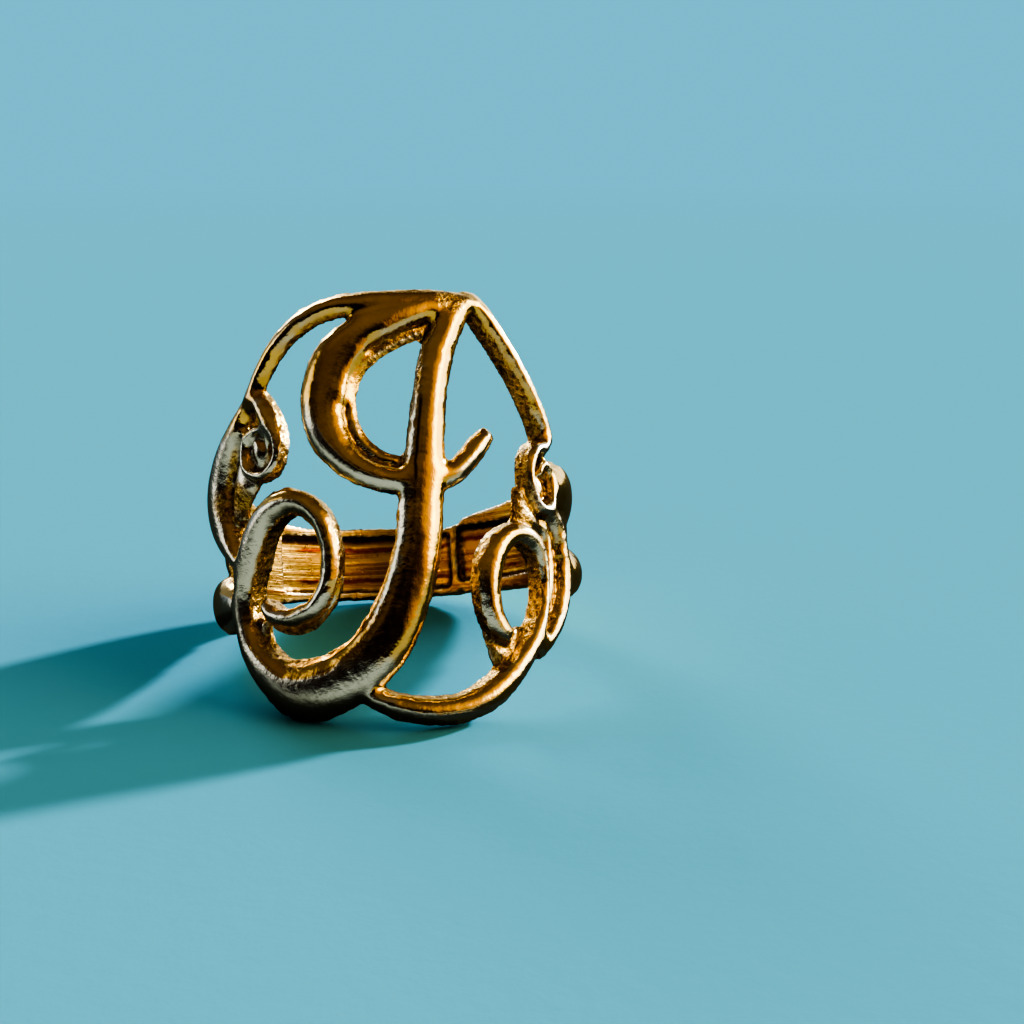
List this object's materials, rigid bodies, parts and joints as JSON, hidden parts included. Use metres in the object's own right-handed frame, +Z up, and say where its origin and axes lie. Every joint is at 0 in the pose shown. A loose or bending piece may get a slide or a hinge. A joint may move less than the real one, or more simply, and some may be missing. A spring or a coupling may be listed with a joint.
{
  "type": "initial ring",
  "caption": "Adjustable openwork finger ring: a tall, scrolled script capital forms the face and runs into a narrow split shank. Gold-toned cast metal, lying on its side.",
  "frame": {"origin": "middle of the ring's footprint, on the surface that it rests on", "axes": "+Z up from the surface, -Y towards the capital's face, +X to the capital's right; the finger's axis leans back about 24 degrees from +Z towards +Y"},
  "size_m": [0.0206, 0.0224, 0.0207],
  "materials": {
    "gold_plate": "polished gold plate, worn, on cast brass"
  },
  "bodies": {
    "root": {"initial_ring": "gold_plate"}
  },
  "joints": []
}
